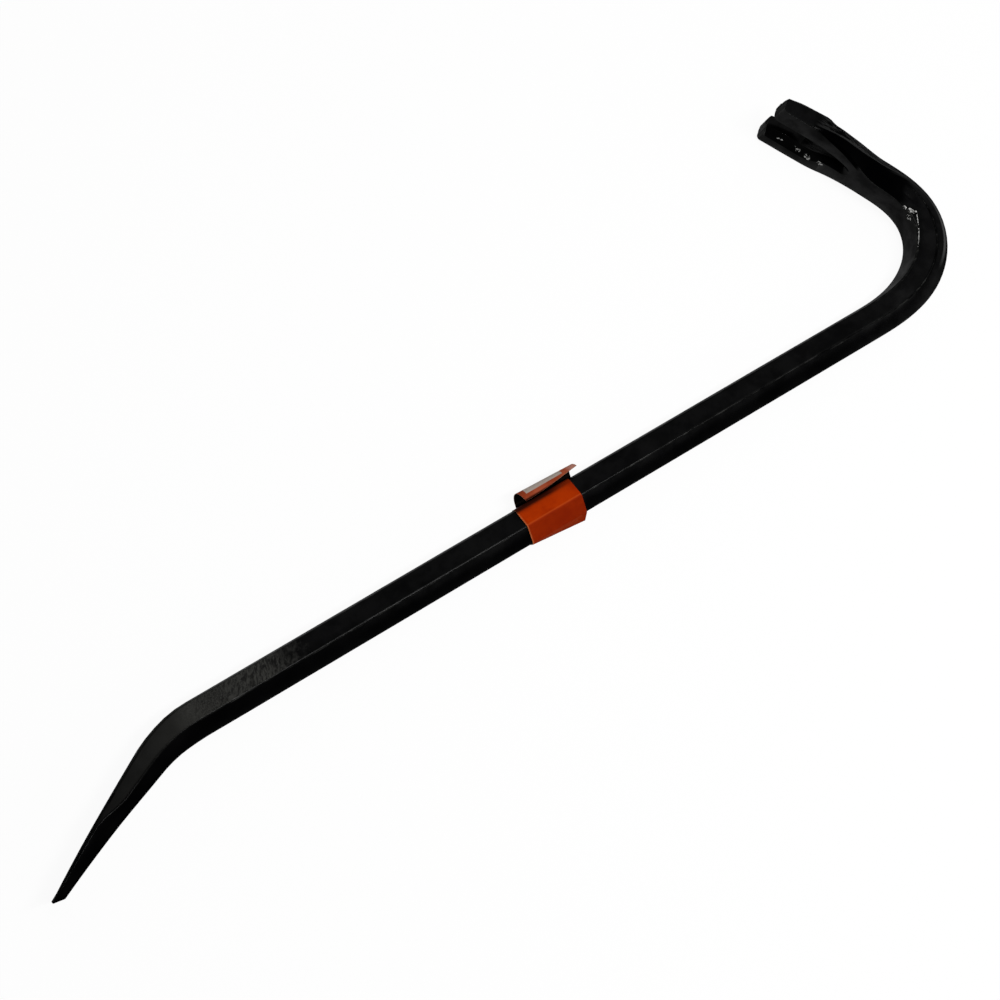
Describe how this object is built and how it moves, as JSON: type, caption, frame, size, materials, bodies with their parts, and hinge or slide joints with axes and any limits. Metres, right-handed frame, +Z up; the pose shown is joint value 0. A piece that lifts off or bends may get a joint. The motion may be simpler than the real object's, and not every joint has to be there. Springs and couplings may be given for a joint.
{
  "type": "nail puller",
  "caption": "Gooseneck wrecking bar forged from hexagonal stock, with a slotted nail-pulling claw, a bent chisel end and a curled paper wrap label on its shank.",
  "frame": {"origin": "centre of the bounding box at its base: the floor under the bar, which lies on its side at rest", "axes": "+X along the straight shank, from the chisel end towards the gooseneck; +Y towards the side the claw curls to; +Z up from the floor"},
  "size_m": [0.5976, 0.1712, 0.043],
  "materials": {
    "forged_bar": "black lacquer over forged steel, semi-gloss",
    "wrap_label": "orange coated paper"
  },
  "bodies": {
    "root": {"forged_bar": "forged_bar", "wrap_label": "wrap_label"}
  },
  "joints": []
}
